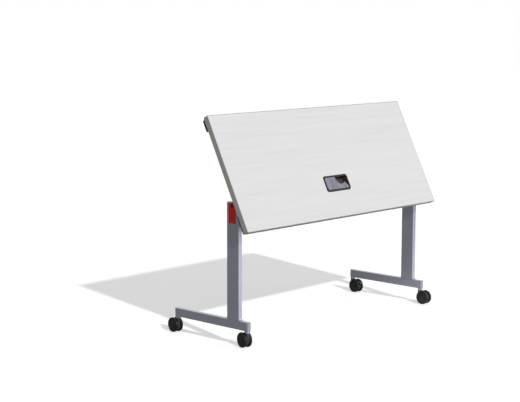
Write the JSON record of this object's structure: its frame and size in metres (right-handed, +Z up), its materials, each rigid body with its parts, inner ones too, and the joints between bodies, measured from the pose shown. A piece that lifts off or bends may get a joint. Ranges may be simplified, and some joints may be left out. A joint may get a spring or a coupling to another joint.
{
  "type": "stacking training table",
  "caption": "Flip-top training table stowed for nesting: tilting worktop with power module, tee-foot column legs, crossbar, lock panels and twin-wheel casters, rear ones braked.",
  "frame": {"origin": "on the floor, at the middle of the stowed table's bounding box", "axes": "+X along the worktop's length, +Z up, the working side of the tilted worktop faces -Y"},
  "size_m": [1.524, 0.618, 1.1254],
  "materials": {
    "core_board": "raw particle board",
    "laminate": "satin, faint streaks along the length",
    "backer": "matt",
    "edge_band": "satin",
    "silver_paint": "satin silver-grey powder coat",
    "dark_paint": "satin black",
    "zinc_steel": "zinc plated",
    "grey_plastic": "satin",
    "light_plastic": "satin",
    "red_plastic": "satin",
    "black_rubber": "matt",
    "bezel_plastic": "satin dark bronze",
    "black_plastic": "fine grain",
    "lid_plastic": "satin",
    "caster_body": "satin dark grey",
    "caster_wheel": "satin black nylon",
    "axle_steel": "bright"
  },
  "bodies": {
    "base": {"column_left": "silver_paint", "column_right": "silver_paint", "foot_left": "silver_paint", "foot_right": "silver_paint", "foot_end_caps": "grey_plastic", "pivot_cradle_left": "zinc_steel", "pivot_cradle_right": "zinc_steel", "pivot_pin_left": "dark_paint", "pivot_pin_right": "dark_paint", "head_cap_left": "light_plastic", "head_cap_right": "light_plastic", "crossbar": "silver_paint", "crossbar_flange_left": "silver_paint", "crossbar_flange_right": "silver_paint", "flange_bolts": "zinc_steel", "stem_sockets": "silver_paint", "caster_stems": "axle_steel"},
    "worktop": {"worktop_core": "core_board", "worktop_laminate": "laminate", "worktop_backer": "backer", "edge_band": "edge_band", "tilt_bracket_left": "dark_paint", "tilt_bracket_right": "dark_paint", "bracket_screws": "zinc_steel", "rear_bumper_left": "black_rubber", "rear_bumper_right": "black_rubber", "front_bumper_left": "black_rubber", "front_bumper_right": "black_rubber", "bumper_screws": "zinc_steel", "power_bezel": "bezel_plastic", "power_housing": "black_plastic", "outlet_plate": "black_plastic", "receptacles": "grey_plastic", "cord_gland": "black_plastic", "housing_clamps": "zinc_steel", "clamp_screws": "zinc_steel", "lid_hinge_pin": "axle_steel"},
    "lid": {"power_lid": "lid_plastic"},
    "lock_left": {"lock_panel_left": "red_plastic"},
    "lock_right": {"lock_panel_right": "red_plastic"},
    "caster_front_left": {"caster_body_front_left": "caster_body", "axle_front_left": "axle_steel"},
    "wheel_front_left_outer": {"wheel_front_left_outer": "caster_wheel"},
    "wheel_front_left_inner": {"wheel_front_left_inner": "caster_wheel"},
    "caster_front_right": {"caster_body_front_right": "caster_body", "axle_front_right": "axle_steel"},
    "wheel_front_right_outer": {"wheel_front_right_outer": "caster_wheel"},
    "wheel_front_right_inner": {"wheel_front_right_inner": "caster_wheel"},
    "caster_rear_left": {"caster_body_rear_left": "caster_body", "axle_rear_left": "axle_steel"},
    "wheel_rear_left_outer": {"wheel_rear_left_outer": "caster_wheel"},
    "wheel_rear_left_inner": {"wheel_rear_left_inner": "caster_wheel"},
    "brake_left": {"brake_lever_left": "black_plastic"},
    "caster_rear_right": {"caster_body_rear_right": "caster_body", "axle_rear_right": "axle_steel"},
    "wheel_rear_right_outer": {"wheel_rear_right_outer": "caster_wheel"},
    "wheel_rear_right_inner": {"wheel_rear_right_inner": "caster_wheel"},
    "brake_right": {"brake_lever_right": "black_plastic"}
  },
  "joints": [
    {"name": "worktop_tilt", "type": "hinge", "parent": "base", "child": "worktop", "pos_m": [0, -0.15547, 0.6904], "axis": [1, 0, 0], "range_deg": [-63.5, 0]},
    {"name": "lid_hinge", "type": "hinge", "parent": "worktop", "child": "lid", "pos_m": [0, -0.22978, 0.71617], "axis": [1, 0, 0], "range_deg": [0, 100]},
    {"name": "lock_slide_left", "type": "slide", "parent": "base", "child": "lock_left", "axis": [1, 0, 0], "range_m": [0, 0.0035]},
    {"name": "lock_slide_right", "type": "slide", "parent": "base", "child": "lock_right", "axis": [-1, 0, 0], "range_m": [0, 0.0035]},
    {"name": "swivel_front_left", "type": "hinge", "parent": "base", "child": "caster_front_left", "pos_m": [-0.7095, -0.24547, 0.06], "axis": [0, 0, 1], "continuous": true},
    {"name": "roll_front_left_outer", "type": "hinge", "parent": "caster_front_left", "child": "wheel_front_left_outer", "pos_m": [-0.70321, -0.22024, 0.0375], "axis": [0.9703, -0.2419, 0], "continuous": true},
    {"name": "roll_front_left_inner", "type": "hinge", "parent": "caster_front_left", "child": "wheel_front_left_inner", "pos_m": [-0.70321, -0.22024, 0.0375], "axis": [0.9703, -0.2419, 0], "continuous": true},
    {"name": "swivel_front_right", "type": "hinge", "parent": "base", "child": "caster_front_right", "pos_m": [0.7095, -0.24547, 0.06], "axis": [0, 0, 1], "continuous": true},
    {"name": "roll_front_right_outer", "type": "hinge", "parent": "caster_front_right", "child": "wheel_front_right_outer", "pos_m": [0.7095, -0.27147, 0.0375], "axis": [-1, 0, 0], "continuous": true},
    {"name": "roll_front_right_inner", "type": "hinge", "parent": "caster_front_right", "child": "wheel_front_right_inner", "pos_m": [0.7095, -0.27147, 0.0375], "axis": [-1, 0, 0], "continuous": true},
    {"name": "swivel_rear_left", "type": "hinge", "parent": "base", "child": "caster_rear_left", "pos_m": [-0.7095, 0.23853, 0.06], "axis": [0, 0, 1], "continuous": true},
    {"name": "roll_rear_left_outer", "type": "hinge", "parent": "caster_rear_left", "child": "wheel_rear_left_outer", "pos_m": [-0.70588, 0.26428, 0.0375], "axis": [0.9903, -0.1392, 0], "continuous": true},
    {"name": "roll_rear_left_inner", "type": "hinge", "parent": "caster_rear_left", "child": "wheel_rear_left_inner", "pos_m": [-0.70588, 0.26428, 0.0375], "axis": [0.9903, -0.1392, 0], "continuous": true},
    {"name": "brake_left_press", "type": "hinge", "parent": "caster_rear_left", "child": "brake_left", "pos_m": [-0.70421, 0.27616, 0.0615], "axis": [-0.9903, 0.1392, 0], "range_deg": [0, 15]},
    {"name": "swivel_rear_right", "type": "hinge", "parent": "base", "child": "caster_rear_right", "pos_m": [0.7095, 0.23853, 0.06], "axis": [0, 0, 1], "continuous": true},
    {"name": "roll_rear_right_outer", "type": "hinge", "parent": "caster_rear_right", "child": "wheel_rear_right_outer", "pos_m": [0.70678, 0.21268, 0.0375], "axis": [-0.9945, 0.1045, 0], "continuous": true},
    {"name": "roll_rear_right_inner", "type": "hinge", "parent": "caster_rear_right", "child": "wheel_rear_right_inner", "pos_m": [0.70678, 0.21268, 0.0375], "axis": [-0.9945, 0.1045, 0], "continuous": true},
    {"name": "brake_right_press", "type": "hinge", "parent": "caster_rear_right", "child": "brake_right", "pos_m": [0.70553, 0.20074, 0.0615], "axis": [0.9945, -0.1045, 0], "range_deg": [0, 15]}
  ]
}
